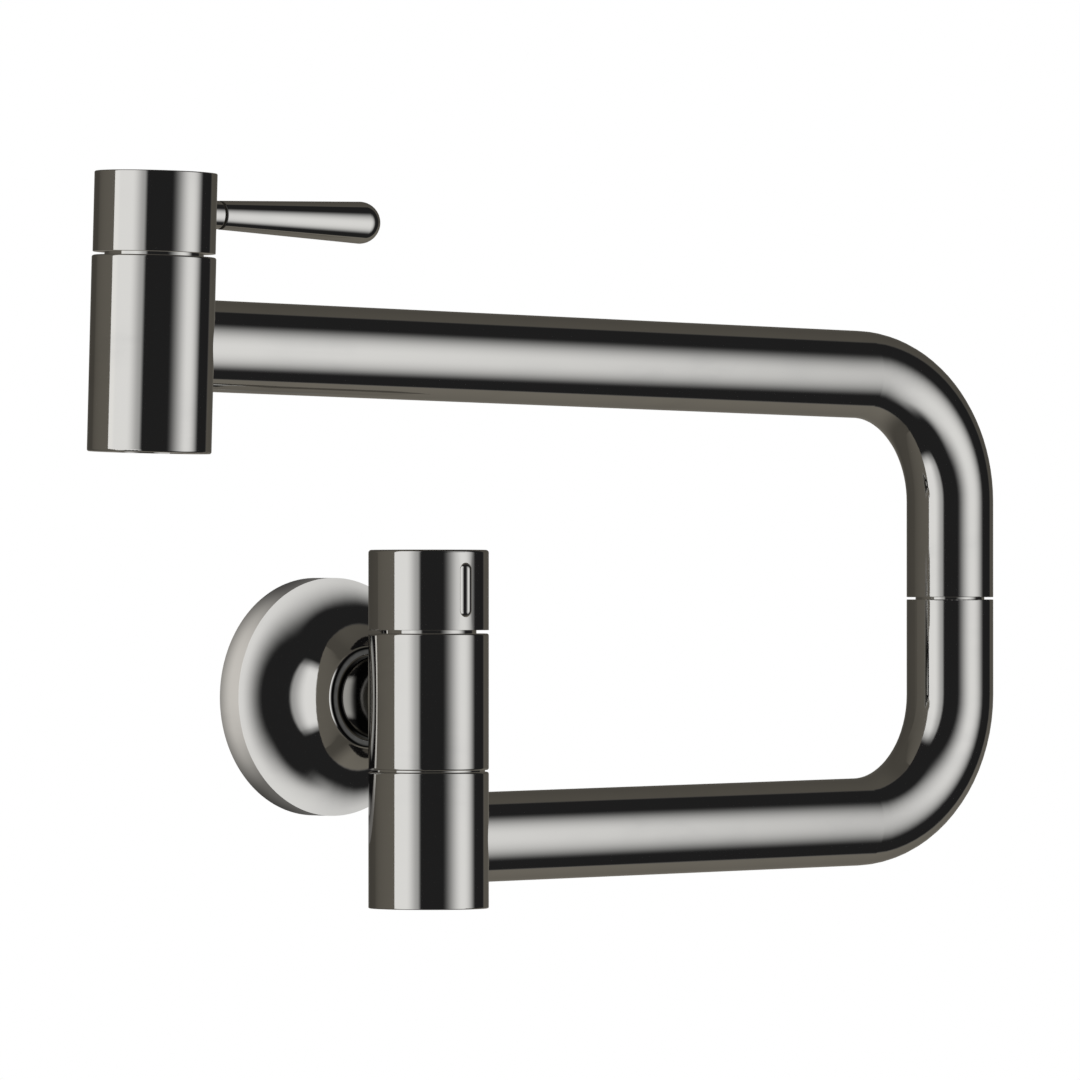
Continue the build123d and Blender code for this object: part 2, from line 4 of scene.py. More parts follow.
import bmesh
import bpy
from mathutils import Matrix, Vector


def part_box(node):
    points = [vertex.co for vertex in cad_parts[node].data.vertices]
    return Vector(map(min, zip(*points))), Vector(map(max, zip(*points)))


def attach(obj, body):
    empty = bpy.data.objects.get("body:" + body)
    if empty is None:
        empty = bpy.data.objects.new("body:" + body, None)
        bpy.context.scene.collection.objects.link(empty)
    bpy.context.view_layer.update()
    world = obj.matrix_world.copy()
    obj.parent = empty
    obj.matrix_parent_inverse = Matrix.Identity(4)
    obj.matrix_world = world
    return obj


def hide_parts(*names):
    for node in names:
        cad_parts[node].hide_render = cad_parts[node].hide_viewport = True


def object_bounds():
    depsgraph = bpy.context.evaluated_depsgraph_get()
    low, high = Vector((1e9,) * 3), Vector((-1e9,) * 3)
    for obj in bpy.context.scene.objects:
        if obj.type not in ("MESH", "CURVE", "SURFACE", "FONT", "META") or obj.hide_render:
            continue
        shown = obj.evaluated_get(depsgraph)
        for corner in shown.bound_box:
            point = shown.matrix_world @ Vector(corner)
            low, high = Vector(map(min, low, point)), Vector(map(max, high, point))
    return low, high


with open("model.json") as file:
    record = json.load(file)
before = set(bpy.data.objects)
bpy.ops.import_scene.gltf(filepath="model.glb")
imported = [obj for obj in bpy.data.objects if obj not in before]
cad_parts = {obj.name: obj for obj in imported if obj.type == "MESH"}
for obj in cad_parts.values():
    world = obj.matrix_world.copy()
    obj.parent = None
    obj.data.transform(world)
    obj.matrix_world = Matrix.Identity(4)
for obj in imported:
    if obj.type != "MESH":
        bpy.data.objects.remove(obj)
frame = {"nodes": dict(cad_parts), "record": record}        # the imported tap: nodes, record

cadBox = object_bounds()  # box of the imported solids
nodes = frame["nodes"]
scene = bpy.context.scene
scene.view_settings.view_transform = "Standard"
print("packed pieces:", len(nodes))


# small helpers for shader trees

def newNode(tree, kind, inputs=None, **settings):
    node = tree.nodes.new(kind)
    for key, value in settings.items():
        setattr(node, key, value)
    for key, value in (inputs or {}).items():
        if isinstance(value, bpy.types.NodeSocket):
            tree.links.new(value, node.inputs[key])
        else:
            node.inputs[key].default_value = value
    return node


def sums(tree, kind, first, second=0.0, third=0.0):  # one Math node
    return newNode(tree, "ShaderNodeMath", {0: first, 1: second, 2: third}, operation=kind).outputs[0]


def vectors(tree, kind, first, second=(0.0, 0.0, 0.0)):  # one Vector Math node
    return newNode(tree, "ShaderNodeVectorMath", {0: first, 1: second}, operation=kind).outputs


def parts(tree, place):  # X, Y and Z of a place
    return newNode(tree, "ShaderNodeSeparateXYZ", {0: place}).outputs


def clouds(tree, place, scale, detail, distortion=0.0):  # one Noise Texture node
    inputs = {"Vector": place, "Scale": scale, "Detail": detail, "Distortion": distortion}
    return newNode(tree, "ShaderNodeTexNoise", inputs).outputs[0]


def product(tree, *values):
    result = values[0]
    for value in values[1:]:
        result = sums(tree, "MULTIPLY", result, value)
    return result


def ease(tree, value, start, end):  # 0 at start, 1 at end, smooth in between
    span = {"Value": value, "From Min": start, "From Max": end}
    return newNode(tree, "ShaderNodeMapRange", span, interpolation_type="SMOOTHSTEP").outputs["Result"]


def spread(tree, value, low, high):  # 0 to 1 becomes low to high
    span = {"Value": value, "To Min": low, "To Max": high}
    return newNode(tree, "ShaderNodeMapRange", span).outputs["Result"]


def blendColours(tree, share, first, second):
    mix = newNode(tree, "ShaderNodeMix", data_type="RGBA")
    for key, value in ((0, share), (6, first), (7, second)):
        if isinstance(value, bpy.types.NodeSocket):
            tree.links.new(value, mix.inputs[key])
        else:
            mix.inputs[key].default_value = value
    return mix.outputs[2]


def newGroup(name, inputs, output):
    tree = bpy.data.node_groups.new(name, "ShaderNodeTree")
    for label, value in inputs.items():
        kind = "NodeSocketVector" if isinstance(value, tuple) else "NodeSocketFloat"
        tree.interface.new_socket(label, in_out="INPUT", socket_type=kind).default_value = value
    tree.interface.new_socket(output, in_out="OUTPUT", socket_type="NodeSocketFloat")
    return tree, newNode(tree, "NodeGroupInput").outputs


def closeGroup(tree, result):
    newNode(tree, "NodeGroupOutput", {0: result})
    return tree


def useGroup(tree, group, inputs):
    return newNode(tree, "ShaderNodeGroup", inputs, node_tree=group).outputs[0]


def newMaterial(name):
    material = bpy.data.materials.new(name)
    material.use_nodes = True
    material.node_tree.nodes.clear()
    return material, material.node_tree


def objectPlace(tree):
    return newNode(tree, "ShaderNodeTexCoord").outputs["Object"]


# camera, at the place that the photograph was taken from

cameraSet = {
    "place": (-2.0193, -2.6510, 0.0331),
    "heading": 38.60,  # degrees from +Y towards +X
    "tilt": 0.338,  # degrees up
    "lens": 329.67,
    "sensor": 36.0,
}


def makeCamera():
    data = bpy.data.cameras.new("camera")
    data.lens = cameraSet["lens"]
    data.sensor_width = cameraSet["sensor"]
    camera = bpy.data.objects.new("camera", data)
    heading = math.radians(cameraSet["heading"])
    tilt = math.radians(cameraSet["tilt"])
    look = Vector((math.sin(heading) * math.cos(tilt), math.cos(heading) * math.cos(tilt), math.sin(tilt)))
    camera.location = cameraSet["place"]
    camera.rotation_euler = look.to_track_quat("-Z", "Y").to_euler()
    scene.collection.objects.link(camera)
    scene.camera = camera


makeCamera()
print("camera set")


# studio: white surroundings, pale floor, and panels that only the polished metal sees

studioSet = {
    "centre": (0.05, -0.06, 0.05),
    "tentRadius": 5.0,
    "flagTone": 0.030,  # black cloth on the camera side
    "flagTint": (1.0, 1.0, 1.03, 1.0),
    "wallToneHigh": 0.175,  # grey screen on the wall side
    "wallToneLow": 0.33,
    "wallToneSide": 0.135,  # towards the left
    "greyTint": (1.0, 0.925, 0.790, 1.0),
    "greyStart": (-0.016, 0.24),  # where the grey takes over on the right, and further back on the left
    "greyTurn": (0.50, -0.50),
    "greySoft": 0.12,
    "lowFrom": (0.10, -0.28),  # from the high tone to the low one
    "sideFrom": (0.55, 0.10),  # from these to the one towards the left
}

floorSet = {
    "drop": 0.13,  # below the lowest point of the tap
    "radius": 1.38,
    "fade": 0.75,  # the rim melts into the white surroundings
    "fadeEnd": 0.99,
    "tone": (0.90, 0.90, 0.895, 1.0),
    "shade": 0.985,  # share of the tone in the darker clouds
    "cloudScale": 3.0,
    "cloudDetail": 4.0,
    "roughness": 0.8,
    "segments": 96,
}

lampSet = {
    "energy": 9.0,
    "size": 1.1,
    "place": (0.0, -0.2, 1.5),
}

softRight = {
    "facing": -82.8,  # degrees from +X to the panel, seen from the tap
    "distance": 1.112,
    "span": (-0.378, 1.617),
    "spanSoft": (0.820, 1.097),
    "height": (-2.211, 1.528),
    "heightSoft": (2.127, 1.482),
    "corner": (0.45, 1.30, 0.50),  # how far down the near edge starts and stops to draw in, how far it goes
    "strength": 1.52,
}

softLeft = {
    "facing": 186.0,
    "distance": 1.90,
    "span": (-1.90, 1.20),
    "spanSoft": (0.10, 0.33),
    "slope": (0.93, 0.07, 0.45),  # where it starts and ends along the span, least share of light
    "height": (-3.0, 3.0),
    "heightSoft": (1.60, 1.60),
    "strength": 1.56,
}

greyFlag = {
    "edge": (-0.263, 0.005),  # upright edge that ends the left panel's mirror image
    "far": (-0.32, 0.90),
    "height": (-3.5, 3.5),
    "tone": (0.238, 0.145),  # at the edge, far from it
}

cardSet = {  # one-sided cards that keep some mirror images apart, as in the photograph
    "lidTone": 0.29,  # over the rosette, seen from the upper arm
    "screenTone": 0.14,  # behind the stop knob, seen from the knob
    "gap": 0.001,
}

ringLight = {
    "inner": 0.0402,  # just outside the rosette, in the plane of the wall
    "outer": 0.0497,
    "behind": 0.001,
    "steps": 96,
    "brightest": 8.0,  # degrees above the left end
    "low": 0.33,
    "high": 1.32,
    "rise": (0.0385, 0.0455),  # brighter away from the rosette
    "least": 0.35,
    "fade": (0.42, 1.06),
    "tint": (1.0, 0.97, 0.93, 1.0),
}


def onlyMirrored(panel):
    panel.visible_camera = False
    panel.visible_diffuse = False
    panel.visible_transmission = False
    panel.visible_volume_scatter = False
    panel.visible_shadow = False
    for material in panel.data.materials:
        material.cycles.emission_sampling = "NONE"


def addPanel(name, points, faces, material):
    mesh = bpy.data.meshes.new(name)
    mesh.from_pydata(points, [], faces)
    mesh.materials.append(material)
    panel = bpy.data.objects.new(name, mesh)
    scene.collection.objects.link(panel)
    onlyMirrored(panel)
    return panel


def uprightPanel(name, start, end, height, material):
    low, high = height
    corners = [(*start, low), (*end, low), (*end, high), (*start, high)]
    panel = addPanel(name, corners, [(0, 1, 2, 3)], material)
    layer = panel.data.uv_layers.new(name="panel")
    for loop, place in zip(layer.data, ((0, 0), (1, 0), (1, 1), (0, 1))):
        loop.uv = place


def panelPlace(tree):  # 0 to 1 along the panel and up it
    return parts(tree, newNode(tree, "ShaderNodeUVMap", uv_map="panel").outputs[0])


def softMaterial(name, values):
    material, tree = newMaterial(name)
    place = panelPlace(tree)
    first, last = values["span"]
    wide = last - first
    tall = values["height"][1] - values["height"][0]
    near = place["X"]
    if "corner" in values:
        begin, done, inset = values["corner"]
        down = sums(tree, "MULTIPLY_ADD", place["Y"], -tall, -values["height"][0])
        near = sums(tree, "SUBTRACT", near, spread(tree, ease(tree, down, begin, done), 0.0, inset / wide))
    level = product(
        tree,
        ease(tree, near, 0.0, values["spanSoft"][0] / wide),
        ease(tree, place["X"], 1.0, 1.0 - values["spanSoft"][1] / wide),
        ease(tree, place["Y"], 0.0, values["heightSoft"][0] / tall),
        ease(tree, place["Y"], 1.0, 1.0 - values["heightSoft"][1] / tall),
        values["strength"],
    )
    if "slope" in values:
        start, end, least = values["slope"]
        rise = ease(tree, place["X"], (start - first) / wide, (end - first) / wide)
        level = product(tree, level, spread(tree, rise, least, 1.0))
    glow = newNode(tree, "ShaderNodeEmission", {"Strength": level})
    clear = newNode(tree, "ShaderNodeBsdfTransparent")
    joined = newNode(tree, "ShaderNodeAddShader", {0: glow.outputs[0], 1: clear.outputs[0]})
    newNode(tree, "ShaderNodeOutputMaterial", {"Surface": joined.outputs[0]})
    return material


def softPanel(name, values):
    turn = math.radians(values["facing"])
    out = Vector((math.cos(turn), math.sin(turn)))
    along = Vector((-math.sin(turn), math.cos(turn)))
    axis = Vector((0.0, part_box("swivel_hub")[0].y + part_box("swivel_hub")[1].y)) / 2
    middle = axis + out * values["distance"]
    start, end = (middle + along * step for step in values["span"])
    uprightPanel(name, start, end, values["height"], softMaterial(name, values))


def glowMaterial(name, shade):
    material, tree = newMaterial(name)
    glow = newNode(tree, "ShaderNodeEmission", shade(tree))
    newNode(tree, "ShaderNodeOutputMaterial", {"Surface": glow.outputs[0]})
    return material


def flagShade(tree):
    level = spread(tree, panelPlace(tree)["X"], *greyFlag["tone"])
    return {"Color": studioSet["greyTint"], "Strength": level}


def makeFlag():
    material = glowMaterial("greyFlag", flagShade)
    uprightPanel("greyFlag", greyFlag["edge"], greyFlag["far"], greyFlag["height"], material)


def oneSided(name, tone, corners):
    material, tree = newMaterial(name)
    glow = newNode(tree, "ShaderNodeEmission", {"Color": studioSet["greyTint"], "Strength": tone})
    clear = newNode(tree, "ShaderNodeBsdfTransparent")
    behind = newNode(tree, "ShaderNodeNewGeometry").outputs["Backfacing"]
    joined = newNode(tree, "ShaderNodeMixShader", {0: behind, 1: glow.outputs[0], 2: clear.outputs[0]})
    newNode(tree, "ShaderNodeOutputMaterial", {"Surface": joined.outputs[0]})
    addPanel(name, corners, [(0, 1, 2, 3)], material)


def makeCards():
    low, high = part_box("wall_rosette")
    knobLow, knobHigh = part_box("stop_knob")
    gap = cardSet["gap"]
    front = knobHigh.y + gap
    top = high.z + gap
    left = (low.x + knobLow.x) / 2
    lid = [(low.x, front, top), (high.x, front, top), (high.x, high.y, top), (low.x, high.y, top)]
    screen = [(left, front, knobLow.z), (high.x, front, knobLow.z)]
    screen += [(high.x, front, knobHigh.z), (left, front, knobHigh.z)]
    oneSided("rosetteLid", cardSet["lidTone"], lid)
    oneSided("knobScreen", cardSet["screenTone"], screen)


def ringShade(tree):
    place = objectPlace(tree)
    way = vectors(tree, "NORMALIZE", place)[0]
    turn = math.radians(ringLight["brightest"])
    share = vectors(tree, "DOT_PRODUCT", way, (-math.cos(turn), 0.0, math.sin(turn)))["Value"]
    level = spread(tree, ease(tree, share, *ringLight["fade"]), ringLight["low"], ringLight["high"])
    reach = vectors(tree, "LENGTH", place)["Value"]
    rise = spread(tree, ease(tree, reach, *ringLight["rise"]), ringLight["least"], 1.0)
    return {"Color": ringLight["tint"], "Strength": product(tree, level, rise)}


def makeRing():
    points = []
    faces = []
    steps = ringLight["steps"]
    for step in range(steps):
        angle = 2 * math.pi * step / steps
        for reach in (ringLight["inner"], ringLight["outer"]):
            points.append((reach * math.cos(angle), ringLight["behind"], reach * math.sin(angle)))
        here, following = 2 * step, 2 * ((step + 1) % steps)
        faces.append((here, here + 1, following + 1, following))
    addPanel("ringLight", points, faces, glowMaterial("ringLight", ringShade))


def tentShade(tree):
    values = studioSet
    way = vectors(tree, "NORMALIZE", objectPlace(tree))[0]
    aim = parts(tree, way)
    flat = vectors(tree, "MULTIPLY", way, (1.0, 1.0, 0.0))[0]
    turn = parts(tree, vectors(tree, "NORMALIZE", flat)[0])
    start = spread(tree, ease(tree, turn["X"], *values["greyTurn"]), *values["greyStart"])
    back = ease(tree, turn["Y"], start, sums(tree, "ADD", start, values["greySoft"]))
    low = ease(tree, aim["Z"], *values["lowFrom"])
    wall = spread(tree, low, values["wallToneHigh"], values["wallToneLow"])
    wall = spread(tree, ease(tree, aim["X"], *values["sideFrom"]), wall, values["wallToneSide"])
    step = sums(tree, "SUBTRACT", wall, values["flagTone"])
    level = sums(tree, "MULTIPLY_ADD", back, step, values["flagTone"])
    tint = blendColours(tree, back, values["flagTint"], values["greyTint"])
    return {"Color": tint, "Strength": level}


def makeTent():
    form = bmesh.new()
    bmesh.ops.create_icosphere(form, subdivisions=4, radius=studioSet["tentRadius"])
    mesh = bpy.data.meshes.new("lightTent")
    form.to_mesh(mesh)
    form.free()
    mesh.materials.append(glowMaterial("lightTent", tentShade))
    tent = bpy.data.objects.new("lightTent", mesh)
    tent.location = studioSet["centre"]
    scene.collection.objects.link(tent)
    onlyMirrored(tent)


def makeFloor():
    material, tree = newMaterial("paleFloor")
    inputs = {"Scale": floorSet["cloudScale"], "Detail": floorSet["cloudDetail"]}
    cloud = newNode(tree, "ShaderNodeTexNoise", inputs).outputs[0]
    tone = floorSet["tone"]
    shade = tuple(floorSet["shade"] * part for part in tone[:3]) + (1.0,)
    paint = blendColours(tree, cloud, tone, shade)
    surface = {"Base Color": paint, "Roughness": floorSet["roughness"], "Specular IOR Level": 0.0}
    skin = newNode(tree, "ShaderNodeBsdfPrincipled", surface)
    reach = vectors(tree, "LENGTH", objectPlace(tree))["Value"]
    radius = floorSet["radius"]
    fade = ease(tree, reach, radius - floorSet["fade"], floorSet["fadeEnd"] * radius)
    clear = newNode(tree, "ShaderNodeBsdfTransparent")
    joined = newNode(tree, "ShaderNodeMixShader", {0: fade, 1: skin.outputs[0], 2: clear.outputs[0]})
    newNode(tree, "ShaderNodeOutputMaterial", {"Surface": joined.outputs[0]})
    form = bmesh.new()
    bmesh.ops.create_circle(form, cap_ends=True, segments=floorSet["segments"], radius=radius)
    mesh = bpy.data.meshes.new("floor")
    form.to_mesh(mesh)
    form.free()
    mesh.materials.append(material)
    floor = bpy.data.objects.new("floor", mesh)
    floor.location = (0.0, 0.0, cadBox[0].z - floorSet["drop"])
    floor.visible_glossy = False
    scene.collection.objects.link(floor)


def makeLamp():
    data = bpy.data.lights.new("topLamp", "AREA")
    data.energy = lampSet["energy"]
    data.shape = "DISK"
    data.size = lampSet["size"]
    lamp = bpy.data.objects.new("topLamp", data)
    lamp.location = lampSet["place"]
    lamp.visible_glossy = False
    lamp.visible_camera = False
    scene.collection.objects.link(lamp)


def makeWorld():
    world = bpy.data.worlds.new("whiteRoom")
    world.use_nodes = True
    background = world.node_tree.nodes["Background"]
    background.inputs["Color"].default_value = (1.0, 1.0, 1.0, 1.0)
    background.inputs["Strength"].default_value = 1.0
    scene.world = world


makeWorld()
makeTent()
softPanel("softRight", softRight)
softPanel("softLeft", softLeft)
makeFlag()
makeCards()
makeRing()
makeFloor()
makeLamp()
print("studio set")


# effects that several finishes share: each pair is where the effect starts and where it is full

effectSet = {
    "lineRange": (0.30, 0.70),
    "lineDetail": 3.0,
    "wipeCloud": (0.42, 0.72),
    "wipeStreak": (0.25, 0.65),
    "wipeStretch": (3.0, 3.0, 11.0),
    "wipeDetail": (2.0, 3.0),  # cloud, streak
    "wipeSwirl": 1.4,
    "edgeTurn": (0.985, 0.75),  # how alike the plain and the rounded normal are
    "edgePatch": (0.25, 0.60),
    "edgePatchScale": 260.0,
    "poreRange": (0.05, 0.55),
    # patchiness of the painted shade in the seams
    "seamShadePatch": (0.92, 1.0),
    "seamShadePatchScale": 400.0,
    "patchDetail": 2.0,
}


def makePolishLines():  # fine lines left by the wheel or the cutting tool
    tree, given = newGroup("polishLines", {"Place": (0.0, 0.0, 0.0), "Scale": (1.0, 1.0, 1.0)}, "Lines")
    drawn = vectors(tree, "MULTIPLY", given["Place"], given["Scale"])[0]
    noise = clouds(tree, drawn, 1.0, effectSet["lineDetail"])
    return closeGroup(tree, ease(tree, noise, *effectSet["lineRange"]))


def makeWipeMarks():  # faint haze where a cloth or a hand went over
    tree, given = newGroup("wipeMarks", {"Place": (0.0, 0.0, 0.0), "Size": 0.04}, "Marks")
    often = sums(tree, "DIVIDE", 1.0, given["Size"])
    broad, narrow = effectSet["wipeDetail"]
    cloud = clouds(tree, given["Place"], often, broad, effectSet["wipeSwirl"])
    stretched = vectors(tree, "MULTIPLY", given["Place"], effectSet["wipeStretch"])[0]
    streak = clouds(tree, stretched, often, narrow)
    wiped = ease(tree, cloud, *effectSet["wipeCloud"])
    return closeGroup(tree, product(tree, wiped, ease(tree, streak, *effectSet["wipeStreak"])))


def makeEdgeWearAndGlint():  # polished-through wear along sharp edges, with a painted glint: a lighter colour there
    tree, given = newGroup("edgeWearAndGlint", {"Place": (0.0, 0.0, 0.0), "Width": 0.0004}, "Edge")
    rounded = newNode(tree, "ShaderNodeBevel", {"Radius": given["Width"]}, samples=4).outputs[0]
    plain = newNode(tree, "ShaderNodeNewGeometry").outputs["Normal"]
    compared = vectors(tree, "DOT_PRODUCT", rounded, plain)["Value"]
    turned = ease(tree, compared, *effectSet["edgeTurn"])
    patch = clouds(tree, given["Place"], effectSet["edgePatchScale"], effectSet["patchDetail"])
    return closeGroup(tree, product(tree, turned, ease(tree, patch, *effectSet["edgePatch"])))


def makeFineGrain():  # skin of moulded rubber, plastic and lapped ceramic
    tree, given = newGroup("fineGrain", {"Place": (0.0, 0.0, 0.0), "Size": 0.0004}, "Grain")
    often = sums(tree, "DIVIDE", 1.0, given["Size"])
    noise = clouds(tree, given["Place"], often, effectSet["patchDetail"])
    cells = newNode(tree, "ShaderNodeTexVoronoi", {"Vector": given["Place"], "Scale": often})
    pores = cells.outputs["Distance"]
    return closeGroup(tree, product(tree, noise, ease(tree, pores, *effectSet["poreRange"])))


def makeSeamShade():  # painted shade: darker colour in a joint, where shade falls
    inputs = {"Across": 0.0, "Clear": 0.0, "Deep": 0.0, "Place": (0.0, 0.0, 0.0)}
    tree, given = newGroup("seamShade", inputs, "Shade")
    patch = clouds(tree, given["Place"], effectSet["seamShadePatchScale"], effectSet["patchDetail"])
    shadeBand = ease(tree, given["Across"], given["Clear"], given["Deep"])
    return closeGroup(tree, product(tree, shadeBand, spread(tree, patch, *effectSet["seamShadePatch"])))


polishLines = makePolishLines()
wipeMarks = makeWipeMarks()
edgeWearAndGlint = makeEdgeWearAndGlint()
fineGrain = makeFineGrain()
seamShade = makeSeamShade()
print("shared effects made")


# ways that the lines run over a piece: fine is across them, run is along them

bendReach = 0.03  # the arms' lines start to turn this far before the elbow
bendSpan = (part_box("elbow_post")[0].x - bendReach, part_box("elbow_post")[1].x)


def distance(tree, first, second):
    squares = sums(tree, "MULTIPLY_ADD", first, first, product(tree, second, second))
    return sums(tree, "SQRT", squares)


def turnedLines(tree, fine, run):  # round an upright axis
    return useGroup(tree, polishLines, {"Place": objectPlace(tree), "Scale": (run, run, fine)})


def uprightLines(tree, fine, run):
    return useGroup(tree, polishLines, {"Place": objectPlace(tree), "Scale": (fine, fine, run)})


def levelLines(tree, fine, run):  # along X
    return useGroup(tree, polishLines, {"Place": objectPlace(tree), "Scale": (run, fine, fine)})


def spunLines(tree, fine, run):  # round the inlet axis
    place = parts(tree, objectPlace(tree))
    reach = sums(tree, "ADD", distance(tree, place["X"], place["Z"]), place["Y"])
    spun = newNode(tree, "ShaderNodeCombineXYZ", {"X": reach, "Y": place["X"], "Z": place["Z"]})
    return useGroup(tree, polishLines, {"Place": spun.outputs[0], "Scale": (fine, run, run)})


def tubeLines(tree, fine, run):  # along the arm, then up its bend
    share = ease(tree, parts(tree, objectPlace(tree))["X"], *bendSpan)
    level = product(tree, levelLines(tree, fine, run), sums(tree, "SUBTRACT", 1.0, share))
    return sums(tree, "MULTIPLY_ADD", uprightLines(tree, fine, run), share, level)


# dark chrome, the finish of everything in sight

chromeSet = {
    "tone": (0.425, 0.420, 0.406, 1.0),
    "hazeTone": (0.404, 0.400, 0.388, 1.0),
    # lighter colour on sharp edges: wear with a painted glint
    "edgeTone": (0.520, 0.514, 0.498, 1.0),
    # colour of the painted shade in the seams
    "seamShadeTone": (0.030, 0.030, 0.029, 1.0),
    "rim": (0.65, 0.65, 0.65, 1.0),  # keeps the metal dark at grazing angles
    "roughness": 0.046,
    "lineRoughness": 0.010,
    "hazeRoughness": 0.028,
    "fine": 3800.0,  # lines to the metre
    "run": 45.0,
    "lineDepth": 0.0000012,
    "lineStrength": 0.5,
    "hazeSize": 0.05,
    "edgeWidth": 0.0003,
}


def bumps(tree, height, strength, depth):
    inputs = {"Strength": strength, "Distance": depth, "Height": height}
    return newNode(tree, "ShaderNodeBump", inputs).outputs[0]


def closeMaterial(material, surface):
    tree = material.node_tree
    skin = newNode(tree, "ShaderNodeBsdfPrincipled", surface)
    newNode(tree, "ShaderNodeOutputMaterial", {"Surface": skin.outputs[0]})
    return material


def darkChrome(name, lay, seams=()):
    material, tree = newMaterial(name)
    place = objectPlace(tree)
    lines = lay(tree, chromeSet["fine"], chromeSet["run"])
    haze = useGroup(tree, wipeMarks, {"Place": place, "Size": chromeSet["hazeSize"]})
    edge = useGroup(tree, edgeWearAndGlint, {"Place": place, "Width": chromeSet["edgeWidth"]})
    tone = blendColours(tree, haze, chromeSet["tone"], chromeSet["hazeTone"])
    # edge wear with a painted glint: lighter along sharp edges
    tone = blendColours(tree, edge, tone, chromeSet["edgeTone"])
    # painted shade in the seams: the colour goes dark where shade falls
    seamShades = []
    for across, clear, deep in seams:
        inputs = {"Across": across(tree), "Clear": clear, "Deep": deep, "Place": place}
        seamShades.append(useGroup(tree, seamShade, inputs))
    if seamShades:
        tone = blendColours(tree, product(tree, *seamShades), tone, chromeSet["seamShadeTone"])
    rough = sums(tree, "MULTIPLY_ADD", lines, chromeSet["lineRoughness"], chromeSet["roughness"])
    rough = sums(tree, "MULTIPLY_ADD", haze, chromeSet["hazeRoughness"], rough)
    relief = bumps(tree, lines, chromeSet["lineStrength"], chromeSet["lineDepth"])
    surface = {"Base Color": tone, "Metallic": 1.0, "Roughness": rough, "Normal": relief}
    return closeMaterial(material, {**surface, "Specular Tint": chromeSet["rim"]})


# machined brass, steel and blackened steel, mostly inside

brassSet = {
    "tone": (0.72, 0.54, 0.27, 1.0),
    "dullTone": (0.50, 0.35, 0.16, 1.0),
    "edgeTone": (0.86, 0.70, 0.42, 1.0),
    "roughness": (0.20, 0.38),
    "fine": 2600.0,
    "run": 60.0,
    "lineDepth": 0.000012,
    "lineStrength": 0.6,
    "dullSize": 0.012,
}

steelSet = {
    "tone": (0.56, 0.56, 0.57, 1.0),
    "dullTone": (0.44, 0.44, 0.46, 1.0),
    "edgeTone": (0.72, 0.72, 0.73, 1.0),
    "roughness": (0.22, 0.36),
    "fine": 4200.0,
    "run": 90.0,
    "lineDepth": 0.000008,
    "lineStrength": 0.6,
    "dullSize": 0.006,
}

blackSteelSet = {
    "tone": (0.030, 0.029, 0.028, 1.0),
    "dullTone": (0.018, 0.018, 0.018, 1.0),
    "edgeTone": (0.16, 0.155, 0.15, 1.0),
    "roughness": (0.34, 0.48),
    "fine": 4200.0,
    "run": 90.0,
    "lineDepth": 0.000008,
    "lineStrength": 0.6,
    "dullSize": 0.006,
}


def machined(name, lay, values):
    material, tree = newMaterial(name)
    place = objectPlace(tree)
    lines = lay(tree, values["fine"], values["run"])
    dull = useGroup(tree, wipeMarks, {"Place": place, "Size": values["dullSize"]})
    edge = useGroup(tree, edgeWearAndGlint, {"Place": place, "Width": chromeSet["edgeWidth"]})
    tone = blendColours(tree, dull, values["tone"], values["dullTone"])
    # edge wear with a painted glint: lighter along sharp edges
    tone = blendColours(tree, edge, tone, values["edgeTone"])
    rough = spread(tree, sums(tree, "MAXIMUM", lines, dull), *values["roughness"])
    relief = bumps(tree, lines, values["lineStrength"], values["lineDepth"])
    surface = {"Base Color": tone, "Metallic": 1.0, "Roughness": rough, "Normal": relief}
    return closeMaterial(material, surface)


# seal rubber, valve ceramic and moulded plastic

rubberSet = {
    "tone": (0.030, 0.030, 0.031, 1.0),
    "dustTone": (0.055, 0.054, 0.053, 1.0),
    "edgeTone": (0.045, 0.045, 0.045, 1.0),
    "roughness": (0.48, 0.70),
    "grainSize": 0.00045,
    "grainDepth": 0.00003,
    "grainStrength": 0.7,
    "dustSize": 0.010,
}

ceramicSet = {
    "tone": (0.88, 0.87, 0.84, 1.0),
    "dustTone": (0.80, 0.78, 0.74, 1.0),
    "edgeTone": (0.93, 0.92, 0.90, 1.0),
    "roughness": (0.14, 0.30),
    "grainSize": 0.00025,
    "grainDepth": 0.000004,
    "grainStrength": 0.7,
    "dustSize": 0.008,
}

plasticSet = {
    "tone": (0.80, 0.80, 0.78, 1.0),
    "dustTone": (0.70, 0.70, 0.67, 1.0),
    "edgeTone": (0.86, 0.86, 0.84, 1.0),
    "roughness": (0.34, 0.52),
    "grainSize": 0.00035,
    "grainDepth": 0.000012,
    "grainStrength": 0.7,
    "dustSize": 0.009,
}


def moulded(name, values):
    material, tree = newMaterial(name)
    place = objectPlace(tree)
    grain = useGroup(tree, fineGrain, {"Place": place, "Size": values["grainSize"]})
    dust = useGroup(tree, wipeMarks, {"Place": place, "Size": values["dustSize"]})
    edge = useGroup(tree, edgeWearAndGlint, {"Place": place, "Width": chromeSet["edgeWidth"]})
    tone = blendColours(tree, dust, values["tone"], values["dustTone"])
    # edge wear with a painted glint: lighter along sharp edges
    tone = blendColours(tree, edge, tone, values["edgeTone"])
    rough = spread(tree, sums(tree, "MAXIMUM", grain, dust), *values["roughness"])
    relief = bumps(tree, grain, values["grainStrength"], values["grainDepth"])
    return closeMaterial(material, {"Base Color": tone, "Roughness": rough, "Normal": relief})


# painted shade in the seams of some pieces

seamSet = {  # where the painted shade clears and where it is full
    "rosetteLip": (0.0010, 0.0003),  # from the rosette's front end
    "leverStart": (0.0005, 0.0001),  # from the lever's inner end
    "stubStart": (0.0001, 0.0005),  # from the side of the valve body
    "stubEnd": (0.0085, 0.0058),
}


